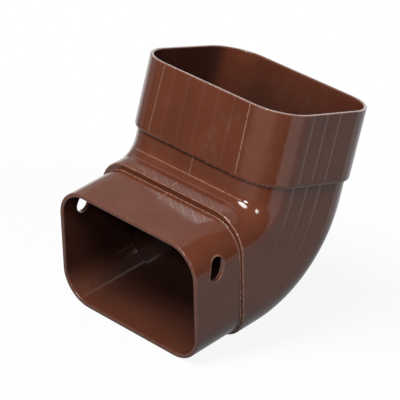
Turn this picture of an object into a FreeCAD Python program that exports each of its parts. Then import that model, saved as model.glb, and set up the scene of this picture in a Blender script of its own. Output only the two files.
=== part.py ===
import FreeCAD, Part
import math
import os
import Sketcher

# Moulded elbow for a rectangular downspout, in millimetres.
# Frame: Z is the axis of the socket and points up out of it, the origin is the middle of the
# ledge on which the downspout stops, X runs across the bend, and the spigot leaves towards -Y.

doc = FreeCAD.newDocument("downspout_elbow")
sheet = doc.addObject("Spreadsheet::Sheet", "sizes")

# the downspout that the socket takes, and the wall of the socket and the bend
sheet.set("A1", "79")
sheet.setAlias("A1", "pipe_width")
sheet.set("A2", "59.4")
sheet.setAlias("A2", "pipe_depth")
sheet.set("A3", "15.2")
sheet.setAlias("A3", "pipe_corner")
sheet.set("A4", "1.4")
sheet.setAlias("A4", "wall")
# socket, with the ledge inside on which the downspout stops
sheet.set("A5", "0.2")
sheet.setAlias("A5", "socket_clearance")
sheet.set("A6", "29")
sheet.setAlias("A6", "socket_length")
sheet.set("A7", "1.6")
sheet.setAlias("A7", "ledge_thickness")
sheet.set("A8", "1.3")
sheet.setAlias("A8", "shoulder_round")
# neck and bend; the heel's arc starts below the throat's, so that it meets the collar's foot
sheet.set("A9", "5.2")
sheet.setAlias("A9", "neck_length")
sheet.set("A10", "5.8")
sheet.setAlias("A10", "throat_radius")
sheet.set("A11", "57.6")
sheet.setAlias("A11", "heel_radius")
sheet.set("A12", "70")
sheet.setAlias("A12", "bend_angle")
# collar against which the next downspout stops
sheet.set("A13", "6.2")
sheet.setAlias("A13", "collar_length")
sheet.set("A14", "0.8")
sheet.setAlias("A14", "collar_round")
# spigot that goes into the next downspout, with a straight bore that ends inside the bend
sheet.set("A15", "1.3")
sheet.setAlias("A15", "spigot_step_side")
sheet.set("A16", "2.7")
sheet.setAlias("A16", "spigot_step_throat")
sheet.set("A17", "1.46")
sheet.setAlias("A17", "spigot_step_heel")
sheet.set("A18", "14")
sheet.setAlias("A18", "spigot_corner")
sheet.set("A19", "24.7")
sheet.setAlias("A19", "spigot_length")
sheet.set("A20", "1.8")
sheet.setAlias("A20", "spigot_wall")
sheet.set("A21", "0.3")
sheet.setAlias("A21", "spigot_foot_round")
sheet.set("A22", "6")
sheet.setAlias("A22", "bore_meeting_angle")
sheet.set("A23", "0.4")
sheet.setAlias("A23", "rim_round")
# fixing slots in both sides of the spigot, upright when the socket is
sheet.set("A24", "7")
sheet.setAlias("A24", "slot_width")
sheet.set("A25", "10.3")
sheet.setAlias("A25", "slot_length")
sheet.set("A26", "11.8")
sheet.setAlias("A26", "slot_from_rim")
sheet.set("A27", "14.2")
sheet.setAlias("A27", "slot_above_axis")
# shallow flutes on the outside
sheet.set("A28", "8.2")
sheet.setAlias("A28", "flute_pitch")
sheet.set("A29", "0.12")
sheet.setAlias("A29", "flute_depth")
sheet.set("A30", "9")
sheet.setAlias("A30", "flute_radius")
sheet.set("A31", "0.1")
sheet.setAlias("A31", "flute_clearance")
sheet.set("A32", "3.1")
sheet.setAlias("A32", "flute_side_shift")
sheet.set("A33", "2.2")
sheet.setAlias("A33", "flute_foot")
sheet.set("A34", "80")
sheet.setAlias("A34", "side_flute_radius")
sheet.set("A35", "19")
sheet.setAlias("A35", "side_flute_angle")
sheet.set("A36", "30")
sheet.setAlias("A36", "heel_flute_angle")
doc.recompute()

# expressions that several features share
SOCKET_WIDTH = "sizes.pipe_width + 2 * (sizes.socket_clearance + sizes.wall)"
SOCKET_DEPTH = "sizes.pipe_depth + 2 * (sizes.socket_clearance + sizes.wall)"
SOCKET_CORNER = "sizes.pipe_corner + sizes.socket_clearance + sizes.wall"
SPIGOT_WIDTH = "sizes.pipe_width - 2 * sizes.spigot_step_side"
SPIGOT_DEPTH = "sizes.pipe_depth - 2 * sizes.spigot_step_throat"
BEND_RADIUS = "(sizes.throat_radius + sizes.pipe_depth / 2)"
BEND_START = "-(sizes.ledge_thickness + sizes.neck_length)"
BEND_COSINE = "cos(sizes.bend_angle * 1deg)"
BEND_SINE = "sin(sizes.bend_angle * 1deg)"
# straight run of the heel below the neck, from the collar's foot and the two radii
HEEL_RUN = "((" + SPIGOT_DEPTH + ") / 2 + sizes.spigot_step_heel"
HEEL_RUN += " - sizes.pipe_depth / 2 * " + BEND_COSINE
HEEL_RUN += " - (sizes.heel_radius - " + BEND_RADIUS + ") * (1 - " + BEND_COSINE + ")) / " + BEND_SINE
HEEL_START = BEND_START + " - " + HEEL_RUN


def value(alias):
    """Present value of one named size."""
    return float(sheet.get(alias))


def worked_out(expression):
    """Present value of an expression, as a plain number."""
    return float(sheet.evalExpression(expression))


def new_body(name):
    """Body with its origin planes by name."""
    body = doc.addObject("PartDesign::Body", name)
    body.Label = name
    planes = {}
    for item in body.Origin.OriginFeatures:
        planes[item.Role] = item
    return body, planes


def outlet_plane(body, planes):
    """Plane at the end of the bend, square to the spigot: Z is the outflow, Y points to the throat."""
    plane = body.newObject("PartDesign::Plane", body.Name + "_outlet")
    plane.AttachmentSupport = [(planes["XY_Plane"], "")]
    plane.MapMode = "FlatFace"
    plane.AttachmentOffset = FreeCAD.Placement(
        FreeCAD.Vector(0, 0, 0), FreeCAD.Rotation(FreeCAD.Vector(1, 0, 0), 180 - value("bend_angle")))
    plane.setExpression("AttachmentOffset.Rotation.Angle", "180 - sizes.bend_angle")
    plane.setExpression("AttachmentOffset.Base.y", BEND_RADIUS + " * (" + BEND_COSINE + " - 1)")
    plane.setExpression(
        "AttachmentOffset.Base.z", BEND_START + " - " + BEND_RADIUS + " * " + BEND_SINE)
    doc.recompute()
    return plane


def new_sketch(body, name, support, height="0"):
    """Empty sketch, moved along the normal of its plane by an expression."""
    sketch = body.newObject("Sketcher::SketchObject", name)
    sketch.AttachmentSupport = [(support, "")]
    sketch.MapMode = "FlatFace"
    sketch.setExpression("AttachmentOffset.Base.z", height)
    return sketch


def tie(sketch, kind, *references):
    """Adds a constraint without a dimension."""
    sketch.addConstraint(Sketcher.Constraint(kind, *references))


def bind(sketch, expression, kind, *references):
    """Adds a dimension and ties it to the sheet."""
    index = sketch.addConstraint(Sketcher.Constraint(kind, *references, worked_out(expression)))
    sketch.setExpression("Constraints[%d]" % index, expression)


def add_line(sketch, start, end, construction=False):
    """Straight line between two points of the sketch."""
    return sketch.addGeometry(Part.LineSegment(start, end), construction)


def add_arc(sketch, centre, radius, start_angle, end_angle):
    """Arc against the clock about a centre, angles in radians."""
    circle = Part.Circle(centre, FreeCAD.Vector(0, 0, 1), radius)
    return sketch.addGeometry(Part.ArcOfCircle(circle, start_angle, end_angle), False)


def rounded_rectangle(body, name, support, height, width, depth, corner):
    """Sketch of a rectangle with equal round corners about the origin of its plane."""
    sketch = new_sketch(body, name, support, height)
    half_w = worked_out(width) / 2
    half_d = worked_out(depth) / 2
    radius = worked_out(corner)
    flat_w = half_w - radius
    flat_d = half_d - radius
    quarter = math.pi / 2
    runs = (
        (-flat_w, -half_d, flat_w, -half_d, flat_w, -flat_d),
        (half_w, -flat_d, half_w, flat_d, flat_w, flat_d),
        (flat_w, half_d, -flat_w, half_d, -flat_w, flat_d),
        (-half_w, flat_d, -half_w, -flat_d, -flat_w, -flat_d),
    )
    lines = []
    arcs = []
    for turn, (x_from, y_from, x_to, y_to, x_mid, y_mid) in enumerate(runs):
        lines.append(add_line(sketch, FreeCAD.Vector(x_from, y_from, 0), FreeCAD.Vector(x_to, y_to, 0)))
        middle = FreeCAD.Vector(x_mid, y_mid, 0)
        arcs.append(add_arc(sketch, middle, radius, (turn - 1) * quarter, turn * quarter))
    for turn in range(4):
        tie(sketch, "Tangent", lines[turn], 2, arcs[turn], 1)
        tie(sketch, "Tangent", arcs[turn], 2, lines[(turn + 1) % 4], 1)
        tie(sketch, "Horizontal" if turn % 2 == 0 else "Vertical", lines[turn])
    for turn in range(1, 4):
        tie(sketch, "Equal", arcs[0], arcs[turn])
    bind(sketch, corner, "Radius", arcs[0])
    bind(sketch, "(" + depth + ") / 2", "DistanceY", lines[0], 1, -1, 1)
    bind(sketch, "(" + width + ") / 2", "DistanceX", -1, 1, lines[1], 1)
    bind(sketch, "(" + depth + ") / 2", "DistanceY", -1, 1, lines[2], 1)
    bind(sketch, "(" + width + ") / 2", "DistanceX", lines[3], 1, -1, 1)
    doc.recompute()
    return sketch


def turning_axis(sketch, radius):
    """Construction line across the bend, behind the origin of the sketch by the given radius."""
    half = value("pipe_width") / 2
    away = -worked_out(radius)
    axis = add_line(sketch, FreeCAD.Vector(-half, away, 0), FreeCAD.Vector(half, away, 0), True)
    tie(sketch, "Symmetric", axis, 1, axis, 2, -2)
    bind(sketch, "sizes.pipe_width", "DistanceX", axis, 1, axis, 2)
    bind(sketch, radius, "DistanceY", axis, 1, -1, 1)
    doc.recompute()


def extrude(body, kind, name, sketch, length, along_normal=True):
    """Pad or pocket of a sketch, along its normal or against it."""
    feature = body.newObject("PartDesign::" + kind, name)
    feature.Profile = sketch
    feature.setExpression("Length", length)
    feature.Reversed = along_normal == (kind == "Pocket")
    doc.recompute()
    return feature


def extrude_both_ways(body, kind, name, sketch, length):
    """Pad or pocket of a sketch, even about its plane."""
    feature = body.newObject("PartDesign::" + kind, name)
    feature.Profile = sketch
    feature.SideType = "Symmetric"
    feature.setExpression("Length", length)
    doc.recompute()
    return feature


def groove(body, name, sketch, angle):
    """Groove of a sketch about its own axis, downwards."""
    feature = body.newObject("PartDesign::Groove", name)
    feature.Profile = sketch
    feature.ReferenceAxis = (sketch, ["Axis0"])
    feature.setExpression("Angle", angle)
    feature.Reversed = True
    doc.recompute()
    return feature


def fillet(body, name, base, edge_names, radius):
    """Rounds the named edges of a feature."""
    feature = body.newObject("PartDesign::Fillet", name)
    feature.Base = (base, edge_names)
    feature.setExpression("Radius", radius)
    doc.recompute()
    return feature


def edges_at(feature, plane, height, outline):
    """Names of the edges in a plane at a height that lie on a rounded rectangle."""
    back = plane.inverse()
    width, depth, corner = outline
    radius = worked_out(corner)
    flat_w = worked_out(width) / 2 - radius
    flat_d = worked_out(depth) / 2 - radius
    tolerance = 0.01
    names = []
    for number, edge in enumerate(feature.Shape.Edges, 1):
        points = [back.multVec(point) for point in edge.discretize(5)]
        if max(abs(point.z - height) for point in points) > tolerance:
            continue
        middle = points[2]
        reach = math.hypot(max(abs(middle.x) - flat_w, 0), max(abs(middle.y) - flat_d, 0))
        if abs(reach - radius) < tolerance:
            names.append("Edge%d" % number)
    return names


def long_edges(feature, half_width, crossing):
    """Names of the edges on both sides of the bend that run along it and not in a crossing direction."""
    tolerance = 0.01
    names = []
    for number, edge in enumerate(feature.Shape.Edges, 1):
        points = edge.discretize(5)
        if max(abs(abs(point.x) - half_width) for point in points) > tolerance:
            continue
        way = (points[-1] - points[0]).normalize()
        if edge.Curve.TypeId == "Part::GeomLine" and max(abs(way.dot(other)) for other in crossing) > 0.999:
            continue
        names.append("Edge%d" % number)
    return names


# directions and centres in the middle plane, as the bend's outlines below start out
turn_now = math.radians(value("bend_angle"))
outflow = FreeCAD.Vector(-math.sin(turn_now), -math.cos(turn_now), 0)
to_throat = FreeCAD.Vector(-math.cos(turn_now), math.sin(turn_now), 0)
half_depth = value("pipe_depth") / 2
throat_centre = FreeCAD.Vector(-worked_out(BEND_RADIUS), worked_out(BEND_START), 0)
heel_centre = FreeCAD.Vector(half_depth - value("heel_radius"), worked_out(HEEL_START), 0)


def radial(angle):
    """Direction from the throat's centre, turned down from the neck by an angle in radians."""
    return FreeCAD.Vector(math.cos(angle), -math.sin(angle), 0)


def outside_outline(body, planes):
    """Side view of the neck, the bend and the collar."""
    sketch = new_sketch(body, "bend_outline", planes["YZ_Plane"])
    top_now = -value("ledge_thickness")
    throat_now = value("throat_radius")
    heel_now = value("heel_radius")
    collar_now = value("collar_length")
    throat_end = throat_centre - to_throat * throat_now
    collar_throat = throat_end + outflow * collar_now
    heel_end = heel_centre - to_throat * heel_now
    collar_heel = heel_end + outflow * (collar_now - (heel_end - throat_centre).dot(outflow))
    front_top = FreeCAD.Vector(-half_depth, top_now, 0)
    back_top = FreeCAD.Vector(half_depth, top_now, 0)
    top = add_line(sketch, back_top, front_top)
    neck = add_line(sketch, front_top, FreeCAD.Vector(-half_depth, throat_centre.y, 0))
    throat = add_arc(sketch, throat_centre, throat_now, -turn_now, 0)
    collar_top = add_line(sketch, throat_end, collar_throat)
    collar_end = add_line(sketch, collar_throat, collar_heel)
    collar_foot = add_line(sketch, collar_heel, heel_end)
    heel = add_arc(sketch, heel_centre, heel_now, -turn_now, 0)
    heel_top = add_line(sketch, FreeCAD.Vector(half_depth, heel_centre.y, 0), back_top)
    tie(sketch, "Coincident", top, 2, neck, 1)
    tie(sketch, "Tangent", neck, 2, throat, 2)
    tie(sketch, "Tangent", throat, 1, collar_top, 1)
    tie(sketch, "Coincident", collar_top, 2, collar_end, 1)
    tie(sketch, "Coincident", collar_end, 2, collar_foot, 1)
    tie(sketch, "Tangent", collar_foot, 2, heel, 1)
    tie(sketch, "Tangent", heel, 2, heel_top, 1)
    tie(sketch, "Coincident", heel_top, 2, top, 1)
    tie(sketch, "Horizontal", top)
    tie(sketch, "Vertical", neck)
    tie(sketch, "Vertical", heel_top)
    tie(sketch, "Perpendicular", collar_end, collar_top)
    tie(sketch, "Parallel", collar_foot, collar_top)
    bind(sketch, "sizes.ledge_thickness", "DistanceY", top, 1, -1, 1)
    bind(sketch, "sizes.pipe_depth / 2", "DistanceX", -1, 1, top, 1)
    bind(sketch, "sizes.pipe_depth / 2", "DistanceX", top, 2, -1, 1)
    bind(sketch, "sizes.neck_length", "DistanceY", neck, 2, neck, 1)
    bind(sketch, "sizes.neck_length + " + HEEL_RUN, "DistanceY", heel_top, 1, heel_top, 2)
    bind(sketch, "sizes.throat_radius", "Radius", throat)
    bind(sketch, "sizes.heel_radius", "Radius", heel)
    collar_run = "sizes.collar_length * " + BEND_SINE
    collar_fall = "sizes.collar_length * " + BEND_COSINE
    bind(sketch, collar_run, "DistanceX", collar_top, 2, collar_top, 1)
    bind(sketch, collar_fall, "DistanceY", collar_top, 2, collar_top, 1)
    doc.recompute()
    return sketch


def core_outline(body, planes):
    """Side view of the water's way through the neck and the bend, up to the spigot's straight bore."""
    sketch = new_sketch(body, "bend_core_outline", planes["YZ_Plane"])
    wall_now = value("wall")
    inner_half = half_depth - wall_now
    throat_now = value("throat_radius") + wall_now
    heel_now = value("heel_radius") - wall_now
    end_angle = turn_now - math.radians(value("bore_meeting_angle"))
    end_way = radial(end_angle)
    throat_end = throat_centre + end_way * throat_now
    between = heel_centre - throat_centre
    along = between.dot(end_way)
    heel_reach = along + math.sqrt(along ** 2 - between.dot(between) + heel_now ** 2)
    heel_end = throat_centre + end_way * heel_reach
    heel_end_angle = math.atan2(heel_end.y - heel_centre.y, heel_end.x - heel_centre.x)
    front_top = FreeCAD.Vector(-inner_half, 0, 0)
    back_top = FreeCAD.Vector(inner_half, 0, 0)
    top = add_line(sketch, back_top, front_top)
    neck = add_line(sketch, front_top, FreeCAD.Vector(-inner_half, throat_centre.y, 0))
    throat = add_arc(sketch, throat_centre, throat_now, -end_angle, 0)
    meeting = add_line(sketch, throat_end, heel_end)
    heel = add_arc(sketch, heel_centre, heel_now, heel_end_angle, 0)
    heel_top = add_line(sketch, FreeCAD.Vector(inner_half, heel_centre.y, 0), back_top)
    tie(sketch, "Coincident", top, 2, neck, 1)
    tie(sketch, "Tangent", neck, 2, throat, 2)
    tie(sketch, "Coincident", throat, 1, meeting, 1)
    tie(sketch, "Coincident", meeting, 2, heel, 1)
    tie(sketch, "Tangent", heel, 2, heel_top, 1)
    tie(sketch, "Coincident", heel_top, 2, top, 1)
    tie(sketch, "Horizontal", top)
    tie(sketch, "Vertical", neck)
    tie(sketch, "Vertical", heel_top)
    tie(sketch, "PointOnObject", top, 1, -1)
    tie(sketch, "PointOnObject", throat, 3, meeting)
    bind(sketch, "sizes.pipe_depth / 2 - sizes.wall", "DistanceX", -1, 1, top, 1)
    bind(sketch, "sizes.pipe_depth / 2 - sizes.wall", "DistanceX", top, 2, -1, 1)
    bind(sketch, "sizes.ledge_thickness + sizes.neck_length", "DistanceY", neck, 2, neck, 1)
    bind(sketch, "-(" + HEEL_START + ")", "DistanceY", heel_top, 1, heel_top, 2)
    bind(sketch, "sizes.throat_radius + sizes.wall", "Radius", throat)
    bind(sketch, "sizes.heel_radius - sizes.wall", "Radius", heel)
    end_turn = "(sizes.bend_angle - sizes.bore_meeting_angle) * 1deg"
    end_fall = "(sizes.throat_radius + sizes.wall) * sin(" + end_turn + ")"
    bind(sketch, end_fall, "DistanceY", throat, 1, throat, 3)
    doc.recompute()
    return sketch


def in_middle_plane(flat):
    """Direction in the middle plane as one of the whole part."""
    return FreeCAD.Vector(0, flat.x, flat.y)


upright = FreeCAD.Placement()
level = FreeCAD.Vector(0, 1, 0)
socket_outline = (SOCKET_WIDTH, SOCKET_DEPTH, SOCKET_CORNER)
socket_bore = (
    SOCKET_WIDTH + " - 2 * sizes.wall", SOCKET_DEPTH + " - 2 * sizes.wall", SOCKET_CORNER + " - sizes.wall")
spigot_outline = (SPIGOT_WIDTH, SPIGOT_DEPTH, "sizes.spigot_corner")
spigot_bore = (
    SPIGOT_WIDTH + " - 2 * sizes.spigot_wall", SPIGOT_DEPTH + " - 2 * sizes.spigot_wall",
    "sizes.spigot_corner - sizes.spigot_wall")

# the water's way through the elbow, cut out of it below
core, core_planes = new_body("waterway")
core_outlet = outlet_plane(core, core_planes)
section = core_outline(core, core_planes)
feature = extrude_both_ways(core, "Pad", "bend_core", section, "sizes.pipe_width - 2 * sizes.wall")
meeting_way = in_middle_plane(radial(turn_now - math.radians(value("bore_meeting_angle"))))
edge_names = long_edges(feature, value("pipe_width") / 2 - value("wall"), (level, meeting_way))
feature = fillet(core, "bend_core_corners", feature, edge_names, "sizes.pipe_corner - sizes.wall")
section = rounded_rectangle(core, "socket_core_section", core_planes["XY_Plane"], "0", *socket_bore)
feature = extrude(core, "Pad", "socket_core", section, "sizes.socket_length")
BORE_IN_BEND = "(" + BEND_RADIUS + " + sizes.pipe_depth / 2) * tan(sizes.bore_meeting_angle * 1deg)"
section = rounded_rectangle(core, "spigot_core_section", core_outlet, "-" + BORE_IN_BEND, *spigot_bore)
feature = extrude(
    core, "Pad", "spigot_core", section, BORE_IN_BEND + " + sizes.collar_length + sizes.spigot_length")
core.Tip = feature
doc.recompute()

# outside of the neck, the bend and the collar
elbow, planes = new_body("elbow")
outlet = outlet_plane(elbow, planes)
section = outside_outline(elbow, planes)
feature = extrude_both_ways(elbow, "Pad", "bend_outside", section, "sizes.pipe_width")
edge_names = long_edges(feature, value("pipe_width") / 2, (level, in_middle_plane(to_throat)))
feature = fillet(elbow, "bend_corners", feature, edge_names, "sizes.pipe_corner")

# outside of the socket, with its round shoulder and rim
section = rounded_rectangle(
    elbow, "socket_section", planes["XY_Plane"], "-sizes.ledge_thickness", *socket_outline)
feature = extrude(elbow, "Pad", "socket_outside", section, "sizes.ledge_thickness + sizes.socket_length")
edge_names = edges_at(feature, upright, -value("ledge_thickness"), socket_outline)
feature = fillet(elbow, "shoulder_edge", feature, edge_names, "sizes.shoulder_round")
edge_names = edges_at(feature, upright, value("socket_length"), socket_outline)
feature = fillet(elbow, "socket_rim_outer_edge", feature, edge_names, "sizes.rim_round")

# the collar's round edge, and the outside of the spigot
end_face_edges = []
for number, edge in enumerate(feature.Shape.Edges, 1):
    heights = [outlet.Placement.inverse().multVec(point).z for point in edge.discretize(5)]
    if max(abs(height - value("collar_length")) for height in heights) < 0.01:
        end_face_edges.append("Edge%d" % number)
feature = fillet(elbow, "collar_edge", feature, end_face_edges, "sizes.collar_round")
section = rounded_rectangle(elbow, "spigot_section", outlet, "sizes.collar_length", *spigot_outline)
feature = extrude(elbow, "Pad", "spigot_outside", section, "sizes.spigot_length")
edge_names = edges_at(feature, outlet.Placement, value("collar_length"), spigot_outline)
feature = fillet(elbow, "spigot_foot_edge", feature, edge_names, "sizes.spigot_foot_round")
rim_height = value("collar_length") + value("spigot_length")
edge_names = edges_at(feature, outlet.Placement, rim_height, spigot_outline)
feature = fillet(elbow, "spigot_rim_outer_edge", feature, edge_names, "sizes.rim_round")

# the water's way, and the round inner edges of the two rims
feature = elbow.newObject("PartDesign::Boolean", "waterway_cut")
feature.setObjects([core])
feature.Type = "Cut"
doc.recompute()
edge_names = edges_at(feature, upright, value("socket_length"), socket_bore)
feature = fillet(elbow, "socket_rim_inner_edge", feature, edge_names, "sizes.rim_round")
edge_names = edges_at(feature, outlet.Placement, rim_height, spigot_bore)
feature = fillet(elbow, "spigot_rim_inner_edge", feature, edge_names, "sizes.rim_round")

# fixing slot, cut through both sides of the spigot; its plane is the middle plane of the elbow,
# and its long way is that of the socket's axis
SLOT_OUT = "(sizes.collar_length + sizes.spigot_length - sizes.slot_from_rim)"
SLOT_Y = BEND_RADIUS + " * (" + BEND_COSINE + " - 1)"
SLOT_Y += " - " + SLOT_OUT + " * " + BEND_SINE
SLOT_Y += " - sizes.slot_above_axis * " + BEND_COSINE
SLOT_Z = BEND_START + " - " + BEND_RADIUS + " * " + BEND_SINE
SLOT_Z += " - " + SLOT_OUT + " * " + BEND_COSINE
SLOT_Z += " + sizes.slot_above_axis * " + BEND_SINE
slot = new_sketch(elbow, "slot_outline", planes["YZ_Plane"])
slot_radius = value("slot_width") / 2
slot_middle = FreeCAD.Vector(worked_out(SLOT_Y), worked_out(SLOT_Z), 0)
upwards = FreeCAD.Vector(0, value("slot_length") / 2 - slot_radius, 0)
upper_middle = slot_middle + upwards
lower_middle = slot_middle - upwards
aside = FreeCAD.Vector(slot_radius, 0, 0)
upper = add_arc(slot, upper_middle, slot_radius, 0, math.pi)
lower = add_arc(slot, lower_middle, slot_radius, math.pi, 2 * math.pi)
left = add_line(slot, upper_middle - aside, lower_middle - aside)
right = add_line(slot, lower_middle + aside, upper_middle + aside)
tie(slot, "Tangent", upper, 2, left, 1)
tie(slot, "Tangent", left, 2, lower, 1)
tie(slot, "Tangent", lower, 2, right, 1)
tie(slot, "Tangent", right, 2, upper, 1)
tie(slot, "Vertical", left)
bind(slot, "sizes.slot_width / 2", "Radius", upper)
bind(slot, "sizes.slot_length - sizes.slot_width", "DistanceY", lower, 3, upper, 3)
bind(slot, "-(" + SLOT_Y + ")", "DistanceX", lower, 3, -1, 1)
bind(slot, "-(" + SLOT_Z + ") + (sizes.slot_length - sizes.slot_width) / 2", "DistanceY", lower, 3, -1, 1)
doc.recompute()
feature = extrude_both_ways(elbow, "Pocket", "fixing_slots", slot, "sizes.pipe_width")

# flutes: shallow grooves of round section that lie along the outside


def keep_at(sketch, item, point, kind, sign, expression):
    """Keeps a point at a distance from the origin; the sign gives the side, 0 is on the vertical axis."""
    if sign == 0:
        tie(sketch, "PointOnObject", item, point, -2)
    elif sign > 0:
        bind(sketch, expression, kind, -1, 1, item, point)
    else:
        bind(sketch, expression, kind, item, point, -1, 1)


def flute(sketch, x_sign, x_expression, y_sign, y_expression, on_side):
    """Section of one flute on a side or a broad face: a flat arc, closed by a chord outside the face."""
    radius = value("flute_radius")
    chord_out = radius - value("flute_depth") - value("flute_clearance")
    half_angle = math.acos(chord_out / radius)
    out = FreeCAD.Vector(x_sign, 0, 0) if on_side else FreeCAD.Vector(0, y_sign, 0)
    on_face = FreeCAD.Vector(x_sign * worked_out(x_expression), y_sign * worked_out(y_expression), 0)
    centre = on_face + out * (radius - value("flute_depth"))
    deepest = math.atan2(-out.y, -out.x)
    arc = add_arc(sketch, centre, radius, deepest - half_angle, deepest + half_angle)
    ends = []
    for angle in (deepest + half_angle, deepest - half_angle):
        ends.append(centre + FreeCAD.Vector(math.cos(angle), math.sin(angle), 0) * radius)
    chord = add_line(sketch, ends[0], ends[1])
    tie(sketch, "Coincident", arc, 2, chord, 1)
    tie(sketch, "Coincident", chord, 2, arc, 1)
    tie(sketch, "Vertical" if on_side else "Horizontal", chord)
    bind(sketch, "sizes.flute_radius", "Radius", arc)
    centre_away = " + sizes.flute_radius - sizes.flute_depth"
    if on_side:
        keep_at(sketch, arc, 3, "DistanceX", x_sign, x_expression + centre_away)
        keep_at(sketch, arc, 3, "DistanceY", y_sign, y_expression)
        keep_at(sketch, chord, 1, "DistanceX", x_sign, x_expression + " + sizes.flute_clearance")
    else:
        keep_at(sketch, arc, 3, "DistanceX", x_sign, x_expression)
        keep_at(sketch, arc, 3, "DistanceY", y_sign, y_expression + centre_away)
        keep_at(sketch, chord, 1, "DistanceY", y_sign, y_expression + " + sizes.flute_clearance")


def face_flutes(sketch, depth, y_sign):
    """Row of seven flutes on a broad face, even about its middle."""
    face = "(" + depth + ") / 2"
    flute(sketch, 0, "0", y_sign, face, False)
    for step in (1, 2, 3):
        place = "%d * sizes.flute_pitch" % step
        flute(sketch, 1, place, y_sign, face, False)
        flute(sketch, -1, place, y_sign, face, False)


def side_flutes(sketch, width):
    """Three flutes on each side, moved towards the throat."""
    face = "(" + width + ") / 2"
    for x_sign in (1, -1):
        flute(sketch, x_sign, face, -1, "sizes.flute_side_shift + sizes.flute_pitch", True)
        flute(sketch, x_sign, face, -1, "sizes.flute_side_shift", True)
        flute(sketch, x_sign, face, 1, "sizes.flute_pitch - sizes.flute_side_shift", True)


top_plane = planes["XY_Plane"]
section = new_sketch(elbow, "socket_flute_sections", top_plane, "sizes.flute_foot - sizes.ledge_thickness")
face_flutes(section, SOCKET_DEPTH, 1)
face_flutes(section, SOCKET_DEPTH, -1)
side_flutes(section, SOCKET_WIDTH)
doc.recompute()
feature = extrude(elbow, "Pocket", "socket_flutes", section, "sizes.ledge_thickness + sizes.socket_length")

section = new_sketch(elbow, "side_flute_sections", top_plane, BEND_START)
turning_axis(section, "sizes.side_flute_radius")
side_flutes(section, "sizes.pipe_width")
doc.recompute()
feature = extrude(elbow, "Pocket", "neck_side_flutes", section, "sizes.neck_length")
feature = groove(elbow, "bend_side_flutes", section, "sizes.side_flute_angle")

section = new_sketch(elbow, "heel_flute_sections", top_plane, HEEL_START)
turning_axis(section, "sizes.heel_radius - sizes.pipe_depth / 2")
face_flutes(section, "sizes.pipe_depth", 1)
doc.recompute()
feature = extrude(elbow, "Pocket", "neck_heel_flutes", section, "sizes.neck_length + " + HEEL_RUN)
feature = groove(elbow, "bend_heel_flutes", section, "sizes.heel_flute_angle")

elbow.Tip = feature
doc.recompute()

for item in doc.Objects:
    if "Invalid" in item.State or "Error" in item.State:
        raise RuntimeError(item.Name + " did not compute")
    if hasattr(item, "Shape") and item.isDerivedFrom("PartDesign::Feature"):
        if item.Shape.isNull() or not item.Shape.isValid():
            raise RuntimeError(item.Name + " has no valid shape")
if len(elbow.Shape.Solids) != 1:
    raise RuntimeError("the elbow is not one solid")

os.makedirs("parts", exist_ok=True)
elbow.Shape.exportStep("parts/" + elbow.Label + ".step")
print("volume %.1f mm3, faces %d" % (elbow.Shape.Volume, len(elbow.Shape.Faces)))
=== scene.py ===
import math

import bpy
from mathutils import Matrix, Vector


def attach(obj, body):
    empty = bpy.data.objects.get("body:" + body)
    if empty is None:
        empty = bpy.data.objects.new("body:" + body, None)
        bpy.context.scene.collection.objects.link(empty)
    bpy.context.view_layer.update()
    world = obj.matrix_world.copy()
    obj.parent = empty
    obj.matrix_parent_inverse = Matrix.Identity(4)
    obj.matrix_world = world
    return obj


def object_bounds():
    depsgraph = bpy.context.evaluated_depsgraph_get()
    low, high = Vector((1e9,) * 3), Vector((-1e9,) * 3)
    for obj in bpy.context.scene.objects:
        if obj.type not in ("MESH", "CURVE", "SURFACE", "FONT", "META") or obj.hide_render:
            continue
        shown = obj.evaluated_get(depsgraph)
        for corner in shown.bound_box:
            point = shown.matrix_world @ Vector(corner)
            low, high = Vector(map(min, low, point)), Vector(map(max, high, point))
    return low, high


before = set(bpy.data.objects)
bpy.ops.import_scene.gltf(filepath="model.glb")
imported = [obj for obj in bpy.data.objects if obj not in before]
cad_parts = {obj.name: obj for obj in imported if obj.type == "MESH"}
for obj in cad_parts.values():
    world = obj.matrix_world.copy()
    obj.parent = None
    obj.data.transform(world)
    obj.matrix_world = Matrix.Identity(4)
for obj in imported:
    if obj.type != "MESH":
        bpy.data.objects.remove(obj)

cad_box = [list(corner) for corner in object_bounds()]
scene = bpy.context.scene
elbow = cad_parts["elbow"]
MM = 0.001
ACROSS = Vector((1, 0, 0))
FRONT = Vector((0, -1, 0))
BACK = Vector((0, 1, 0))
UP = Vector((0, 0, 1))

# sizes of the elbow that the seams follow, in metres
PIPE_WIDTH = 79 * MM
PIPE_DEPTH = 59.4 * MM
PIPE_CORNER = 15.2 * MM
SOCKET_WALL = 1.6 * MM
LEDGE_THICKNESS = 1.6 * MM
SHOULDER_ROUND = 1.3 * MM
RIM_ROUND = 0.4 * MM
NECK_LENGTH = 5.2 * MM
THROAT_RADIUS = 5.8 * MM
BEND_ANGLE = math.radians(70)
COLLAR_LENGTH = 6.2 * MM
COLLAR_ROUND = 0.8 * MM
SPIGOT_STEP = 2.7 * MM
SPIGOT_STEP_SIDE = 1.3 * MM
SPIGOT_STEP_HEEL = 1.46 * MM
SPIGOT_CORNER = 14 * MM

# places worked out from them
SOCKET_FRONT = -PIPE_DEPTH / 2 - SOCKET_WALL
SOCKET_RIM = cad_box[1][2]
FLAT_HALF = PIPE_WIDTH / 2 - PIPE_CORNER
THROAT_CENTRE = Vector((0, -PIPE_DEPTH / 2 - THROAT_RADIUS, -LEDGE_THICKNESS - NECK_LENGTH))
OUTFLOW = Vector((0, -math.sin(BEND_ANGLE), -math.cos(BEND_ANGLE)))
TO_THROAT = Vector((0, -math.cos(BEND_ANGLE), math.sin(BEND_ANGLE)))
OUTLET = THROAT_CENTRE - TO_THROAT * (THROAT_RADIUS + PIPE_DEPTH / 2)
SPIGOT_HALF = PIPE_DEPTH / 2 - SPIGOT_STEP


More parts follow.
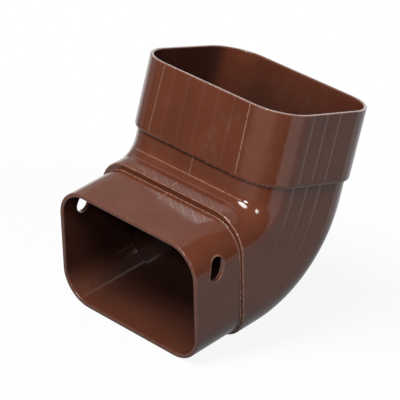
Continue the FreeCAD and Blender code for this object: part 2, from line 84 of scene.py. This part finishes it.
def direction(azimuth, elevation):
    """Unit vector from the object to a place around it, in degrees: 0 is the front, 90 the right."""
    turn = math.radians(azimuth)
    rise = math.radians(elevation)
    flat = math.cos(rise)
    return Vector((math.sin(turn) * flat, -math.cos(turn) * flat, math.sin(rise)))


# camera at the photograph's view: a long lens from the front right, a little above, rolled
CAMERA_AZIMUTH = 38.65
CAMERA_ELEVATION = 17.32
CAMERA_ROLL = math.radians(13.23)
CAMERA_DISTANCE = 990.4 * MM
CAMERA_AIM = Vector((-2.85, -15.26, -22.97)) * MM
CAMERA_LENS = 220.65
CAMERA_SENSOR = 36
CAMERA_NEAR = 0.05
CAMERA_FAR = 30


def place_camera():
    """Camera that looks at the aim point, turned about its own axis by the roll."""
    data = bpy.data.cameras.new("camera")
    data.sensor_width = CAMERA_SENSOR
    data.lens = CAMERA_LENS
    data.clip_start = CAMERA_NEAR
    data.clip_end = CAMERA_FAR
    camera = bpy.data.objects.new("camera", data)
    scene.collection.objects.link(camera)
    back = direction(CAMERA_AZIMUTH, CAMERA_ELEVATION)
    level_right = UP.cross(back).normalized()
    level_up = back.cross(level_right)
    right = level_right * math.cos(CAMERA_ROLL) + level_up * math.sin(CAMERA_ROLL)
    up = back.cross(right)
    turned = Matrix((right, up, back)).transposed().to_4x4()
    camera.matrix_world = Matrix.Translation(CAMERA_AIM + back * CAMERA_DISTANCE) @ turned
    scene.camera = camera


OCCLUSION_SAMPLES = 12


class Graph:
    """Node tree with short calls for the nodes that the materials and the world use."""

    def __init__(self, tree):
        self.tree = tree

    def add(self, kind, **settings):
        """Node of a kind with its settings."""
        made = self.tree.nodes.new(kind)
        for name, setting in settings.items():
            setattr(made, name, setting)
        return made

    def feed(self, socket, source):
        """Links a socket to a source, or sets its value."""
        if isinstance(source, bpy.types.NodeSocket):
            self.tree.links.new(source, socket)
        else:
            socket.default_value = source

    def math(self, operation, *sources):
        """Output of a Math node."""
        made = self.add("ShaderNodeMath", operation=operation)
        for socket, source in zip(made.inputs, sources):
            self.feed(socket, source)
        return made.outputs["Value"]

    def product(self, first, *others):
        """All sources multiplied."""
        result = first
        for other in others:
            result = self.math("MULTIPLY", result, other)
        return result

    def dot(self, source, axis):
        """Share of a vector along an axis."""
        made = self.add("ShaderNodeVectorMath", operation="DOT_PRODUCT")
        self.feed(made.inputs[0], source)
        made.inputs[1].default_value = axis
        return made.outputs["Value"]

    def ramp(self, source, start, end, low=0.0, high=1.0):
        """Smooth change from low to high while the source goes from start to end."""
        made = self.add("ShaderNodeMapRange", interpolation_type="SMOOTHSTEP")
        self.feed(made.inputs["Value"], source)
        made.inputs["From Min"].default_value = start
        made.inputs["From Max"].default_value = end
        made.inputs["To Min"].default_value = low
        made.inputs["To Max"].default_value = high
        return made.outputs["Result"]

    def mix(self, factor, first, second):
        """Output of a colour Mix node."""
        made = self.add("ShaderNodeMix", data_type="RGBA")
        self.feed(made.inputs["Factor"], factor)
        self.feed(made.inputs["A"], first)
        self.feed(made.inputs["B"], second)
        return made.outputs["Result"]

    def blend(self, factor, first, second):
        """Output of a shader Mix node."""
        made = self.add("ShaderNodeMixShader")
        self.feed(made.inputs["Fac"], factor)
        self.feed(made.inputs[1], first)
        self.feed(made.inputs[2], second)
        return made.outputs["Shader"]

    def clear(self):
        """Shader that lets everything through."""
        return self.add("ShaderNodeBsdfTransparent").outputs["BSDF"]

    def glow(self, strength):
        """White emission of a strength."""
        made = self.add("ShaderNodeEmission")
        self.feed(made.inputs["Strength"], strength)
        return made.outputs["Emission"]

    def noise(self, place, scale, detail):
        """Level of a noise texture, about 0.5."""
        made = self.add("ShaderNodeTexNoise")
        self.feed(made.inputs["Vector"], place)
        made.inputs["Scale"].default_value = scale
        made.inputs["Detail"].default_value = detail
        return made.outputs["Fac"]

    def occlusion(self, distance, inside=False):
        """Share of the space near a point that is open, or that is solid below it."""
        made = self.add("ShaderNodeAmbientOcclusion", samples=OCCLUSION_SAMPLES, inside=inside)
        made.inputs["Distance"].default_value = distance
        return made.outputs["AO"]

    def bump(self, height, strength, distance):
        """Bump node of a height."""
        made = self.add("ShaderNodeBump")
        self.feed(made.inputs["Height"], height)
        made.inputs["Strength"].default_value = strength
        made.inputs["Distance"].default_value = distance
        return made


def new_material(name):
    """Empty material with its graph and output node."""
    made = bpy.data.materials.new(name)
    made.use_nodes = True
    made.node_tree.nodes.clear()
    graph = Graph(made.node_tree)
    output = graph.add("ShaderNodeOutputMaterial")
    return made, graph, output


# colours of the PVC: its two tones, flow streaks and dust, the painted shade of the inside, and the
# pale of worn edges, which also paints highlights on edges and seam crests
PVC_DEEP = (0.118, 0.0325, 0.0160, 1)
PVC_LIGHT = (0.134, 0.0385, 0.0195, 1)
PVC_STREAK = (0.150, 0.047, 0.025, 1)
PVC_DUST = (0.36, 0.29, 0.25, 1)
PAINTED_SHADE_COLOUR = (0.010, 0.007, 0.007, 1)
PVC_WORN_AND_HIGHLIGHT = (0.36, 0.21, 0.16, 1)

# scales of its textures, in repeats to the metre
HANDLED_SCALE = 26
WAVE_SCALE = 48
MOTTLE_SCALE = 55
SCUFF_SCALE = 170
SKIN_SCALE = 240
STREAK_SCALE = 420
PATCH_SCALE = 500
SPECK_SCALE = 620
GRAIN_SCALE = 900

PVC_IOR = 1.5
STREAK_STRETCH = 0.08
EDGE_WEAR_WIDTH = 1.1 * MM
WAVE_HEIGHT = 0.17 * MM
WAVE_STRENGTH = 0.6
GRAIN_HEIGHT = 0.01 * MM
GRAIN_STRENGTH = 0.25
SPECK_ROUGHNESS = 0.5


def pvc_tone(graph, place):
    """Colour of the clean surface: faint mottling and upright flow streaks."""
    mottle = graph.ramp(graph.noise(place, MOTTLE_SCALE, 3), 0.35, 0.65)
    tone = graph.mix(mottle, PVC_DEEP, PVC_LIGHT)
    stretch = graph.add("ShaderNodeMapping")
    graph.feed(stretch.inputs["Vector"], place)
    stretch.inputs["Scale"].default_value = (1.0, 1.0, STREAK_STRETCH)
    flow = graph.noise(stretch.outputs["Vector"], STREAK_SCALE, 2)
    return graph.mix(graph.ramp(flow, 0.52, 0.75, low=0, high=0.22), tone, PVC_STREAK)


def pvc_dust(graph, place):
    """Levels of the specks, and of specks and scuffs together, which lie in patches."""
    cells = graph.add("ShaderNodeTexVoronoi")
    graph.feed(cells.inputs["Vector"], place)
    cells.inputs["Scale"].default_value = SPECK_SCALE
    chance = graph.add("ShaderNodeSeparateColor")
    graph.feed(chance.inputs["Color"], cells.outputs["Color"])
    handled = graph.ramp(graph.noise(place, HANDLED_SCALE, 1), 0.45, 0.62)
    limit = graph.ramp(handled, 0, 1, low=0.97, high=0.7)
    few = graph.math("GREATER_THAN", chance.outputs["Red"], limit)
    speck = graph.product(graph.ramp(cells.outputs["Distance"], 0.04, 0.15, low=0.55, high=0), few)
    rubbed = graph.ramp(graph.noise(place, SCUFF_SCALE, 4), 0.52, 0.72, low=0, high=0.04)
    dust = graph.math("MAXIMUM", speck, graph.product(rubbed, handled))
    return speck, dust


def paint_inside_shade(graph, place, openness):
    """Painted shade inside: deep places darkened by occlusion, less on faces to the mouth, and the
    left end of the socket darkened by its place and normal.
    """
    normal = graph.add("ShaderNodeNewGeometry").outputs["Normal"]
    deep = graph.ramp(openness, 0.4, 0.72, low=0.78, high=0)
    to_mouth = graph.ramp(graph.dot(normal, OUTFLOW), 0.955, 0.985, low=1, high=0.3)
    # painted shade on the socket's left end wall, picked by place and by faces that look to the right
    at_left = graph.ramp(graph.dot(place, ACROSS), -FLAT_HALF, 0, low=0.7, high=0)
    to_right = graph.ramp(graph.dot(normal, ACROSS), 0.8, 0.97)
    in_socket = graph.ramp(graph.dot(place, UP), -LEDGE_THICKNESS, LEDGE_THICKNESS)
    left_end = graph.product(at_left, to_right, in_socket)
    return graph.math("MAXIMUM", graph.product(deep, to_mouth), left_end)


def pvc_wear_and_highlight(graph, place, openness):
    """Pale edges, worn in patches on the outside, that also paint a highlight along the rounded edges,
    and the pale crests of the seams, which are painted highlights.
    """
    solid_below = graph.occlusion(EDGE_WEAR_WIDTH, inside=True)
    edge = graph.ramp(solid_below, 0.45, 0.9, low=0.6, high=0)
    patchy = graph.ramp(graph.noise(place, PATCH_SCALE, 3), 0.3, 0.65, low=0.35, high=1)
    outside = graph.ramp(openness, 0.3, 0.5)
    # painted highlight on the seam crests, carried by an attribute of the seams
    crest_highlight = graph.add("ShaderNodeAttribute", attribute_name="crest_highlight")
    return graph.math("MAXIMUM", graph.product(patchy, outside, edge), crest_highlight.outputs["Fac"])


def brown_pvc():
    """Gloss moulded PVC with dust, painted shade inside, worn edges with a painted highlight on them
    and on the seam crests, a fine skin and a slow wave.
    """
    made, graph, output = new_material("brown_pvc")
    place = graph.add("ShaderNodeTexCoord").outputs["Object"]
    openness = graph.occlusion(PIPE_WIDTH)
    speck, dust = pvc_dust(graph, place)
    colour = graph.mix(dust, pvc_tone(graph, place), PVC_DUST)
    # painted shade: the inside darkened in the colour
    colour = graph.mix(paint_inside_shade(graph, place, openness), colour, PAINTED_SHADE_COLOUR)
    # pale edges: partly wear and partly painted highlight; pale seam crests: painted highlight
    colour = graph.mix(pvc_wear_and_highlight(graph, place, openness), colour, PVC_WORN_AND_HIGHLIGHT)

    skin = graph.ramp(graph.noise(place, SKIN_SCALE, 4), 0.35, 0.7, low=0.085, high=0.135)
    wave = graph.bump(graph.noise(place, WAVE_SCALE, 1), WAVE_STRENGTH, WAVE_HEIGHT)
    grain = graph.bump(graph.noise(place, GRAIN_SCALE, 2), GRAIN_STRENGTH, GRAIN_HEIGHT)
    graph.feed(grain.inputs["Normal"], wave.outputs["Normal"])

    shader = graph.add("ShaderNodeBsdfPrincipled")
    shader.inputs["IOR"].default_value = PVC_IOR
    graph.feed(shader.inputs["Base Color"], colour)
    roughness = graph.math("ADD", skin, graph.product(speck, SPECK_ROUGHNESS))
    graph.feed(shader.inputs["Roughness"], roughness)
    graph.feed(shader.inputs["Normal"], grain.outputs["Normal"])
    graph.feed(output.inputs["Surface"], shader.outputs["BSDF"])
    return made


# moulding seams: thin uneven ridges that lie on the outside, with painted highlights on their crests
SEAM_WIDTH = 0.4 * MM
SEAM_HEIGHT = 0.2 * MM
SEAM_STEP = 0.15 * MM
SEAM_SWELL = 1.3 * MM
SEAM_PROFILE = ((-0.5, -0.5), (-0.36, 0.6), (0.0, 1.0), (0.36, 0.6), (0.5, -0.5))
SWELL_MEAN = 0.5
SWELL_SHORT = 0.35
SWELL_SLOW = 0.15
SLOW_BEAT = 0.31
SLOW_PHASE = 1


def along(start, end):
    """Even values from start to end, about one seam step apart."""
    count = max(2, round(abs(end - start) / SEAM_STEP))
    return [start + (end - start) * step / count for step in range(count + 1)]


def swell(index, beat):
    """Uneven height of a seam as a share of the whole, the same in every run."""
    turn = 2 * math.pi * index * SEAM_STEP / SEAM_SWELL
    short = math.sin(turn * beat)
    slow = math.sin(turn * SLOW_BEAT * beat + SLOW_PHASE)
    return SWELL_MEAN + SWELL_SHORT * short + SWELL_SLOW * slow


def ridge_faces(rows):
    """Faces between neighbouring rows of points, each row as long as the seam's profile."""
    row = len(SEAM_PROFILE)
    faces = []
    for start in range(0, (rows - 1) * row, row):
        for corner in range(start, start + row - 1):
            faces.append((corner, corner + 1, corner + 1 + row, corner + row))
    return faces


def seam(name, path, material, beat, pale, full=SEAM_HEIGHT):
    """Ridge along a path of places and outward normals, with a painted highlight that is paler where
    it stands high.
    """
    points = []
    paleness = []
    last = len(path) - 1
    for index, (place, normal) in enumerate(path):
        before = path[max(index - 1, 0)][0]
        after = path[min(index + 1, last)][0]
        side = (after - before).cross(normal).normalized()
        share = swell(index, beat)
        height = full * share
        if index in (0, last):
            height = 0
        for across, up in SEAM_PROFILE:
            points.append(place + side * (across * SEAM_WIDTH) + normal * (up * height))
            # painted highlight on the crest, stronger where the ridge stands high
            paleness.append(pale * share)
    mesh = bpy.data.meshes.new(name)
    mesh.from_pydata(points, [], ridge_faces(len(path)))
    mesh.polygons.foreach_set("use_smooth", [True] * len(mesh.polygons))
    mesh.attributes.new("crest_highlight", "FLOAT", "POINT").data.foreach_set("value", paleness)
    mesh.materials.append(material)
    piece = bpy.data.objects.new(name, mesh)
    scene.collection.objects.link(piece)
    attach(piece, "root")


def ring(centre, up, half_width, low, high, corner, lean):
    """Path round a rectangle with round corners, across and up from a centre.

    Its normals point out of the rectangle, and lean by a vector that is added to them.
    """
    corners = (
        (half_width - corner, high - corner),
        (corner - half_width, high - corner),
        (corner - half_width, low + corner),
        (half_width - corner, low + corner),
    )
    outline = []
    for quarter, (x, y) in enumerate(corners):
        for bow in along(0, corner * math.pi / 2):
            angle = quarter * math.pi / 2 + bow / corner
            outline.append((x + corner * math.cos(angle), y + corner * math.sin(angle), angle))
    outline.append(outline[0])
    path = []
    for (x, y, angle), (x_next, y_next, _) in zip(outline, outline[1:]):
        normal = (ACROSS * math.cos(angle) + up * math.sin(angle) + lean).normalized()
        place = centre + ACROSS * x + up * y
        run = centre + ACROSS * x_next + up * y_next - place
        for share in along(0, run.length)[:-1]:
            path.append((place + run * (share / run.length), normal))
    return path


def throat_place(x, angle):
    """Place and normal on the throat at a distance across and an angle down from the neck."""
    outwards = Vector((0, -math.cos(angle), math.sin(angle)))
    over = max(abs(x) - FLAT_HALF, 0)
    lean = math.asin(over / PIPE_CORNER)
    radius = THROAT_RADIUS + PIPE_CORNER * (1 - math.cos(lean))
    place = THROAT_CENTRE + ACROSS * x - outwards * radius
    normal = outwards * math.cos(lean) + ACROSS * math.copysign(math.sin(lean), x)
    return place, normal


# places of the seams: across from the middle plane, or along from the edge where they start
FLASH_ANGLE = math.radians(27)
FLASH_FROM = -30 * MM
FLASH_TO = 28.5 * MM
NECK_SEAM = 0.3 * MM
NECK_SEAM_GAP = 0.4 * MM
COLLAR_SEAM = -0.4 * MM
COLLAR_SEAM_GAP = 1.5 * MM
SPIGOT_SEAM = -0.8 * MM
SPIGOT_SEAM_LENGTH = 6.3 * MM
FRONT_SEAM_RIM = 23.2 * MM
FRONT_SEAM_FOOT = 24 * MM
FRONT_SEAM_GAP = 0.6 * MM
EDGE_LINE_HEIGHT = 0.1 * MM
FOOT_LINE_HEIGHT = 0.35 * MM
# depth of the middle of a rounded edge below its two faces, as a share of the radius
HALF_ROUND = 1 - math.sqrt(0.5)


def add_throat_flash(material):
    """Flash line across the throat."""
    path = [throat_place(x, FLASH_ANGLE) for x in along(FLASH_FROM, FLASH_TO)]
    seam("throat_flash", path, material, beat=0.35, pale=0.9)


def add_neck_seam(material):
    """Seam down the neck's front and on into the throat, as far as the flash line."""
    path = []
    for z in along(-LEDGE_THICKNESS - NECK_SEAM_GAP, THROAT_CENTRE.z):
        path.append((Vector((NECK_SEAM, -PIPE_DEPTH / 2, z)), FRONT))
    for bow in along(0, FLASH_ANGLE * THROAT_RADIUS)[1:]:
        path.append(throat_place(NECK_SEAM, bow / THROAT_RADIUS))
    seam("neck_seam", path, material, beat=0.9, pale=0.5)


def add_outlet_seams(material):
    """Short seams near the middle of the collar's and the spigot's top."""
    top = throat_place(0, BEND_ANGLE)[0]
    collar_end = COLLAR_LENGTH - COLLAR_ROUND
    spigot_end = COLLAR_LENGTH + SPIGOT_SEAM_LENGTH
    # name, place across, depth below the collar, start and end along the outflow, beat, paleness
    runs = (
        ("collar_seam", COLLAR_SEAM, 0, COLLAR_SEAM_GAP, collar_end, 0.6, 1.0),
        ("spigot_seam", SPIGOT_SEAM, SPIGOT_STEP, COLLAR_LENGTH, spigot_end, 0.5, 0.9),
    )
    for name, x, depth, start, end, beat, pale in runs:
        path = []
        for distance in along(start, end):
            place = top - TO_THROAT * depth + OUTFLOW * distance + ACROSS * x
            path.append((place, TO_THROAT))
        seam(name, path, material, beat, pale)


def add_outlet_lines(material):
    """Painted highlight lines round the collar's edge and the spigot's foot: low pale ridges."""
    inset = COLLAR_ROUND * HALF_ROUND
    edge = OUTLET + OUTFLOW * (COLLAR_LENGTH - inset)
    half_width = PIPE_WIDTH / 2 - inset
    low = inset - SPIGOT_HALF - SPIGOT_STEP_HEEL
    high = PIPE_DEPTH / 2 - inset
    path = ring(edge, TO_THROAT, half_width, low, high, PIPE_CORNER - inset, OUTFLOW)
    seam("collar_edge_line", path, material, beat=0.23, pale=0.9, full=EDGE_LINE_HEIGHT)

    foot = OUTLET + OUTFLOW * (COLLAR_LENGTH + SEAM_WIDTH)
    half_width = PIPE_WIDTH / 2 - SPIGOT_STEP_SIDE
    path = ring(foot, TO_THROAT, half_width, -SPIGOT_HALF, SPIGOT_HALF, SPIGOT_CORNER, Vector())
    seam("spigot_foot_line", path, material, beat=0.45, pale=0.8, full=FOOT_LINE_HEIGHT)


def add_socket_lines(material):
    """Painted highlight lines round the socket's shoulder and rim: low pale ridges."""
    # name, height of the edge, way that its face looks, its round, beat, paleness
    edges = (
        ("shoulder_edge_line", -LEDGE_THICKNESS, -1, SHOULDER_ROUND, 0.3, 0.6),
        ("rim_edge_line", SOCKET_RIM, 1, RIM_ROUND, 0.4, 1.0),
    )
    for name, z, way, edge_round, beat, pale in edges:
        inset = edge_round * HALF_ROUND
        centre = UP * (z - way * inset)
        half_width = PIPE_WIDTH / 2 + SOCKET_WALL - inset
        half_depth = -SOCKET_FRONT - inset
        corner = PIPE_CORNER + SOCKET_WALL - inset
        path = ring(centre, BACK, half_width, -half_depth, half_depth, corner, UP * way)
        seam(name, path, material, beat, pale, full=EDGE_LINE_HEIGHT)


def add_front_seams(material):
    """Two seams down the socket's front, a little further apart at the foot."""
    foot = SHOULDER_ROUND - LEDGE_THICKNESS
    for name, sign, pale in (("front_seam_right", 1, 1.0), ("front_seam_left", -1, 0.4)):
        path = []
        for z in along(SOCKET_RIM - FRONT_SEAM_GAP, foot):
            share = (SOCKET_RIM - z) / (SOCKET_RIM - foot)
            x = FRONT_SEAM_RIM + (FRONT_SEAM_FOOT - FRONT_SEAM_RIM) * share
            path.append((Vector((sign * x, SOCKET_FRONT, z)), FRONT))
        seam(name, path, material, beat=1.0, pale=pale)


# studio floor: small, pale and soft at its end
FLOOR_RADIUS = 0.26
FLOOR_FADE = 0.16
FLOOR_SIDES = 96
FLOOR_GAP = 0.2 * MM
FLOOR_GLOW = 0.9
FLOOR_MIRRORED = 0.48
PAPER_DARK = (0.84, 0.84, 0.84, 1)
PAPER_LIGHT = (0.88, 0.88, 0.88, 1)
PAPER_SCALE = 90
BOUNCE = (0.3, 0.3, 0.3, 1)


def pale_floor():
    """Matt pale floor, white to the camera but for the shadow, that ends softly."""
    made, graph, output = new_material("pale_floor")
    place = graph.add("ShaderNodeTexCoord").outputs["Object"]
    rays = graph.add("ShaderNodeLightPath").outputs
    seen = graph.math("MAXIMUM", rays["Is Camera Ray"], rays["Is Transmission Ray"])
    mirrored = graph.product(rays["Is Glossy Ray"], FLOOR_MIRRORED)
    share = graph.math("MAXIMUM", seen, rays["Is Glossy Ray"])
    paper = graph.mix(graph.noise(place, PAPER_SCALE, 3), PAPER_DARK, PAPER_LIGHT)
    matt = graph.add("ShaderNodeBsdfDiffuse")
    graph.feed(matt.inputs["Color"], graph.mix(share, BOUNCE, paper))
    glow = graph.glow(graph.math("MAXIMUM", seen, mirrored))
    lit = graph.blend(graph.product(share, FLOOR_GLOW), matt.outputs["BSDF"], glow)
    length = graph.add("ShaderNodeVectorMath", operation="LENGTH")
    graph.feed(length.inputs[0], place)
    faded = graph.ramp(length.outputs["Value"], FLOOR_FADE, FLOOR_RADIUS)
    graph.feed(output.inputs["Surface"], graph.blend(faded, lit, graph.clear()))
    return made


def add_floor():
    """Round floor just below the lowest point."""
    low, high = cad_box
    middle = ((low[0] + high[0]) / 2, (low[1] + high[1]) / 2, low[2] - FLOOR_GAP)
    bpy.ops.mesh.primitive_circle_add(
        vertices=FLOOR_SIDES, radius=FLOOR_RADIUS, fill_type="NGON", location=middle)
    floor = bpy.context.object
    floor.name = "floor"
    floor.data.materials.append(pale_floor())


# glowing card before the socket's front that only reflections see: a painted reflection, mirrored in
# the spigot's top
STRIP_LEVEL = 0.46
STRIP_FOOT_LEVEL = 2.3
STRIP_FOOT = 9 * MM
STRIP_REACH = 27 * MM
STRIP_FADE = 2.5 * MM
STRIP_HALF = PIPE_WIDTH / 2
STRIP_GAP = 0.4 * MM
STRIPE_PITCH = 6.4 * MM
# levels of a stripe: everywhere, by the wave and by its square
STRIPE_BASE = 0.1
STRIPE_SINGLE = 0.15
STRIPE_DOUBLE = 0.7
# shares of that at the strip's lower edge and at the bowed line
STRIPE_BELOW = 0.2
STRIPE_ABOVE = 1.7


def glowing_reflection_card():
    """Painted reflection: light from the front side, brighter up to a bowed line, with strong and weak
    stripes in turn.
    """
    made, graph, output = new_material("glowing_reflection_card")
    place = graph.add("ShaderNodeTexCoord").outputs["Object"]
    x = graph.dot(place, ACROSS)
    z = graph.dot(place, UP)
    aside = graph.math("POWER", graph.math("DIVIDE", x, STRIP_REACH), 2.0)
    bowed = graph.math("ADD", z, graph.product(aside, STRIP_FOOT))
    extra = STRIP_FOOT_LEVEL - STRIP_LEVEL
    foot = graph.ramp(bowed, STRIP_FOOT - STRIP_FADE, STRIP_FOOT, low=extra, high=0)
    growth = graph.ramp(z, THROAT_CENTRE.z, STRIP_FOOT, low=STRIPE_BELOW, high=STRIPE_ABOVE)
    wave = graph.math("COSINE", graph.product(x, 2 * math.pi / STRIPE_PITCH))
    single = graph.math("MULTIPLY_ADD", wave, STRIPE_SINGLE, STRIPE_BASE)
    band = graph.math("MULTIPLY_ADD", graph.product(wave, wave), STRIPE_DOUBLE, single)
    glow = graph.glow(graph.math("ADD", graph.product(foot, growth, band), STRIP_LEVEL))
    behind = graph.add("ShaderNodeNewGeometry").outputs["Backfacing"]
    graph.feed(output.inputs["Surface"], graph.blend(behind, glow, graph.clear()))
    return made


def add_strip():
    """Upright glowing card from the bend's start to the socket's rim, close before the socket's front.
    """
    y = SOCKET_FRONT - STRIP_GAP
    low = THROAT_CENTRE.z
    points = []
    for side, z in ((-1, low), (1, low), (1, SOCKET_RIM), (-1, SOCKET_RIM)):
        points.append((side * STRIP_HALF, y, z))
    mesh = bpy.data.meshes.new("glowing_reflection_card")
    mesh.from_pydata(points, [], [(0, 1, 2, 3)])
    mesh.materials.append(glowing_reflection_card())
    strip = bpy.data.objects.new("glowing_reflection_card", mesh)
    scene.collection.objects.link(strip)
    strip.visible_camera = False
    strip.visible_diffuse = False
    strip.visible_transmission = False
    strip.visible_shadow = False


# pale panels of the room: azimuth from and to, elevation from and to, softness of the sides, level
ROOM_LEVEL = 0.07
PANELS = (
    # below the horizon, from the right side round to the back
    (78, 118, -95, -1, 2, 0.4),
    (80, 262, -95, -1, 4, 0.44),
    (165, 262, -40, -1, 6, 0.35),
    (149, 161, -45, -1, 3, 0.3),
    # low in front
    (-26, 36, -40, 2, 12, 0.42),
    # bright at the back, just above the horizon
    (150, 235, -1, 26, 6, 1.6),
    # at the left, and high behind left
    (-125, -66, -20, 30, 8, 0.33),
    (-182, -95, 26, 95, 5, 0.46),
)


def panel(graph, way, west, east, low, high, soft, level):
    """Light level of one soft panel of the room, by direction."""
    middle = (west + east) / 2
    half = (east - west) / 2
    ahead = graph.dot(way, direction(middle, 0))
    aside = graph.dot(way, direction(middle + 90, 0))
    turn = graph.math("DEGREES", graph.math("ABSOLUTE", graph.math("ARCTAN2", aside, ahead)))
    rise = graph.math("DEGREES", graph.math("ARCSINE", graph.dot(way, UP)))
    wide = graph.ramp(turn, half - soft, half + soft, low=level, high=0)
    lower = graph.ramp(rise, low - soft, low + soft)
    upper = graph.ramp(rise, high - soft, high + soft, low=1, high=0)
    return graph.product(lower, upper, wide)


def studio_world():
    """Dim room with pale panels that only reflections see; the camera sees plain white."""
    world = bpy.data.worlds.new("studio")
    scene.world = world
    world.use_nodes = True
    world.node_tree.nodes.clear()
    graph = Graph(world.node_tree)
    way = graph.add("ShaderNodeTexCoord").outputs["Generated"]
    rays = graph.add("ShaderNodeLightPath").outputs
    panels = 0.0
    for shape in PANELS:
        panels = graph.math("ADD", panel(graph, way, *shape), panels)
    level = graph.math("ADD", graph.product(panels, rays["Is Glossy Ray"]), ROOM_LEVEL)
    strength = graph.add("ShaderNodeMix", data_type="FLOAT")
    seen = graph.math("MAXIMUM", rays["Is Camera Ray"], rays["Is Transmission Ray"])
    graph.feed(strength.inputs["Factor"], seen)
    graph.feed(strength.inputs["A"], level)
    graph.feed(strength.inputs["B"], 1.0)
    light = graph.add("ShaderNodeBackground")
    light.inputs["Color"].default_value = (1, 1, 1, 1)
    graph.feed(light.inputs["Strength"], strength.outputs["Result"])
    output = graph.add("ShaderNodeOutputWorld")
    graph.feed(output.inputs["Surface"], light.outputs["Background"])


LAMP_DISTANCE = 1.5


def lamp(name, azimuth, elevation, wide, high, level, mirrored=True):
    """Soft round lamp that faces the object; wide and high are the angles it fills.

    The level is what it adds on a face square to it. Reflections see it if it is mirrored.
    """
    data = bpy.data.lights.new(name, "AREA")
    data.shape = "ELLIPSE"
    data.size = 2 * LAMP_DISTANCE * math.tan(math.radians(wide / 2))
    data.size_y = 2 * LAMP_DISTANCE * math.tan(math.radians(high / 2))
    data.energy = level * (math.pi * LAMP_DISTANCE) ** 2
    made = bpy.data.objects.new(name, data)
    scene.collection.objects.link(made)
    way = direction(azimuth, elevation)
    made.location = way * LAMP_DISTANCE
    made.rotation_euler = way.to_track_quat("Z", "Y").to_euler()
    made.visible_glossy = mirrored


def add_lamps():
    """A large lamp above the front, two small ones for highlights, and one behind."""
    lamp("lamp_top", azimuth=12, elevation=46, wide=31, high=20, level=1.02)
    lamp("lamp_front", azimuth=15, elevation=23, wide=11, high=5, level=0.3)
    lamp("lamp_right", azimuth=62, elevation=22, wide=12, high=9, level=0.13)
    lamp("lamp_back", azimuth=215, elevation=14, wide=50, high=30, level=0.42, mirrored=False)


place_camera()
pvc = brown_pvc()
elbow.data.materials.clear()
elbow.data.materials.append(pvc)
add_throat_flash(pvc)
add_neck_seam(pvc)
add_outlet_seams(pvc)
add_outlet_lines(pvc)
add_socket_lines(pvc)
add_front_seams(pvc)
add_floor()
add_strip()
studio_world()
add_lamps()

scene.view_settings.view_transform = "Standard"
